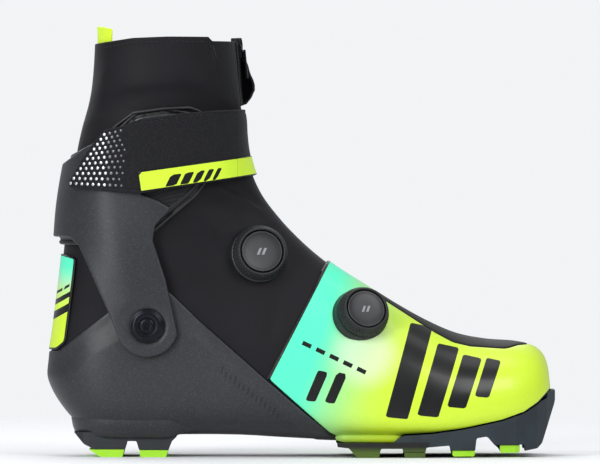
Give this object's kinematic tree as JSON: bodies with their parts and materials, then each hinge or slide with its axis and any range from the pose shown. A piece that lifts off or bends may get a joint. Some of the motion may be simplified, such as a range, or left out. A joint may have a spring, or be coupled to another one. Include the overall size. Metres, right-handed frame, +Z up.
{
  "type": "cross country skating boot",
  "caption": "Right-foot cross country skating ski boot with hinged cuff, peel-open strap, two cable lacing dials, front zip and a toe bar for the binding.",
  "frame": {"origin": "on the ground, under the middle of the boot's bounding box", "axes": "+X to the toe, +Y to the inner (medial) side, +Z up"},
  "size_m": [0.3001, 0.1045, 0.2533],
  "materials": {
    "softshell": "black stretch softshell, fine matt weave",
    "liner": "grey-black foam-backed lining",
    "padding": "padded mesh with piped edges",
    "shell": "dark grey moulded composite with a fine sparkle",
    "cover_film": "teal to yellow printed film",
    "bright_film": "yellow film and webbing",
    "black_trim": "black film and hook-and-loop",
    "webbing": "woven black strap",
    "plate": "fibre-filled stiffener",
    "sole_rubber": "slate rubber",
    "lug_rubber": "lime rubber",
    "steel": "plain steel",
    "black_metal": "black coated steel",
    "acetal": "dark acetal",
    "knob_rubber": "knurled black rubber",
    "dial_plastic": "dark grey moulding"
  },
  "bodies": {
    "lower": {"ankle_panel_back": "softshell", "ankle_panel_front": "softshell", "forefoot_cover": "cover_film", "forefoot_sole": "sole_rubber", "gaiter_foot": "softshell", "heel_lug_tip_front": "lug_rubber", "heel_lug_tip_rear": "lug_rubber", "heel_patch": "cover_film", "heel_shell": "shell", "heel_sole": "sole_rubber", "inner_boot_foot": "liner", "insole": "liner", "instep_strip": "black_trim", "lower_dial_housing": "dial_plastic", "lower_lace": "steel", "lug_tip_ball_inner": "lug_rubber", "lug_tip_ball_outer": "lug_rubber", "lug_tip_fore_inner": "lug_rubber", "lug_tip_fore_outer": "lug_rubber", "lug_tip_toe_inner": "lug_rubber", "lug_tip_toe_outer": "lug_rubber", "midsole_plate": "plate", "pivot_bolt_inner": "black_metal", "pivot_bolt_outer": "black_metal", "pivot_bush_inner": "acetal", "pivot_bush_outer": "acetal", "pivot_nut_inner": "steel", "pivot_nut_outer": "steel", "toe_bar": "steel", "toe_puff": "plate", "tongue": "liner", "upper_dial_housing": "dial_plastic", "upper_lace": "steel"},
    "cuff": {"cuff_shell": "shell", "cuff_lining": "padding", "cuff_loop_patch": "black_trim", "gaiter_shaft": "softshell", "inner_boot_shaft": "liner", "heel_pull_tab": "bright_film", "zip_tape": "black_trim", "zip_flap": "softshell", "strap_front_band": "webbing", "strap_rivet_upper": "steel", "strap_rivet_lower": "steel"},
    "strap": {"strap_flap": "webbing", "strap_colour_band": "bright_film", "strap_hook_pad": "black_trim"},
    "zip_slider": {"zip_slider": "steel"},
    "zip_puller": {"zip_puller": "steel"},
    "upper_dial_sleeve": {"upper_dial_sleeve": "acetal"},
    "upper_dial_knob": {"upper_dial_knob": "knob_rubber", "upper_dial_cap": "dial_plastic"},
    "upper_dial_spool": {"upper_dial_spool": "acetal"},
    "lower_dial_sleeve": {"lower_dial_sleeve": "acetal"},
    "lower_dial_knob": {"lower_dial_knob": "knob_rubber", "lower_dial_cap": "dial_plastic"},
    "lower_dial_spool": {"lower_dial_spool": "acetal"}
  },
  "joints": [
    {"name": "cuff_flex", "type": "hinge", "parent": "lower", "child": "cuff", "pos_m": [-0.0896, 0, 0.0773], "axis": [0, 1, 0], "range_deg": [-4, 15], "stiffness_Nm_per_rad": 6, "deforming": ["ankle_panel_front", "ankle_panel_back"]},
    {"name": "strap_peel", "type": "hinge", "parent": "cuff", "child": "strap", "pos_m": [-0.044, -0.03678, 0.183], "axis": [0, 0, 1], "range_deg": [0, 105]},
    {"name": "zip_slide", "type": "slide", "parent": "cuff", "child": "zip_slider", "axis": [0.075, 0, -0.9972], "range_m": [0, 0.027]},
    {"name": "zip_puller_swing", "type": "hinge", "parent": "zip_slider", "child": "zip_puller", "pos_m": [-0.0318, 0, 0.239], "axis": [0, 1, 0], "range_deg": [-150, 0]},
    {"name": "upper_dial_pull", "type": "slide", "parent": "lower", "child": "upper_dial_sleeve", "axis": [0.1985, -0.9577, 0.2083], "range_m": [0, 0.003]},
    {"name": "upper_dial_turn", "type": "hinge", "parent": "upper_dial_sleeve", "child": "upper_dial_knob", "pos_m": [-0.02444, -0.02851, 0.11876], "axis": [0.1985, -0.9577, 0.2083], "continuous": true},
    {"name": "upper_spool_turn", "type": "hinge", "parent": "lower", "child": "upper_dial_spool", "pos_m": [-0.02444, -0.02851, 0.11876], "axis": [0.1985, -0.9577, 0.2083], "continuous": true},
    {"name": "lower_dial_pull", "type": "slide", "parent": "lower", "child": "lower_dial_sleeve", "axis": [0.2846, -0.8808, 0.3783], "range_m": [0, 0.003]},
    {"name": "lower_dial_turn", "type": "hinge", "parent": "lower_dial_sleeve", "child": "lower_dial_knob", "pos_m": [0.03571, -0.03392, 0.08328], "axis": [0.2846, -0.8808, 0.3783], "continuous": true},
    {"name": "lower_spool_turn", "type": "hinge", "parent": "lower", "child": "lower_dial_spool", "pos_m": [0.03571, -0.03392, 0.08328], "axis": [0.2846, -0.8808, 0.3783], "continuous": true}
  ],
  "couplings": [
    {"joint": "upper_spool_turn", "follows": "upper_dial_turn", "ratio": 1},
    {"joint": "lower_spool_turn", "follows": "lower_dial_turn", "ratio": 1}
  ]
}
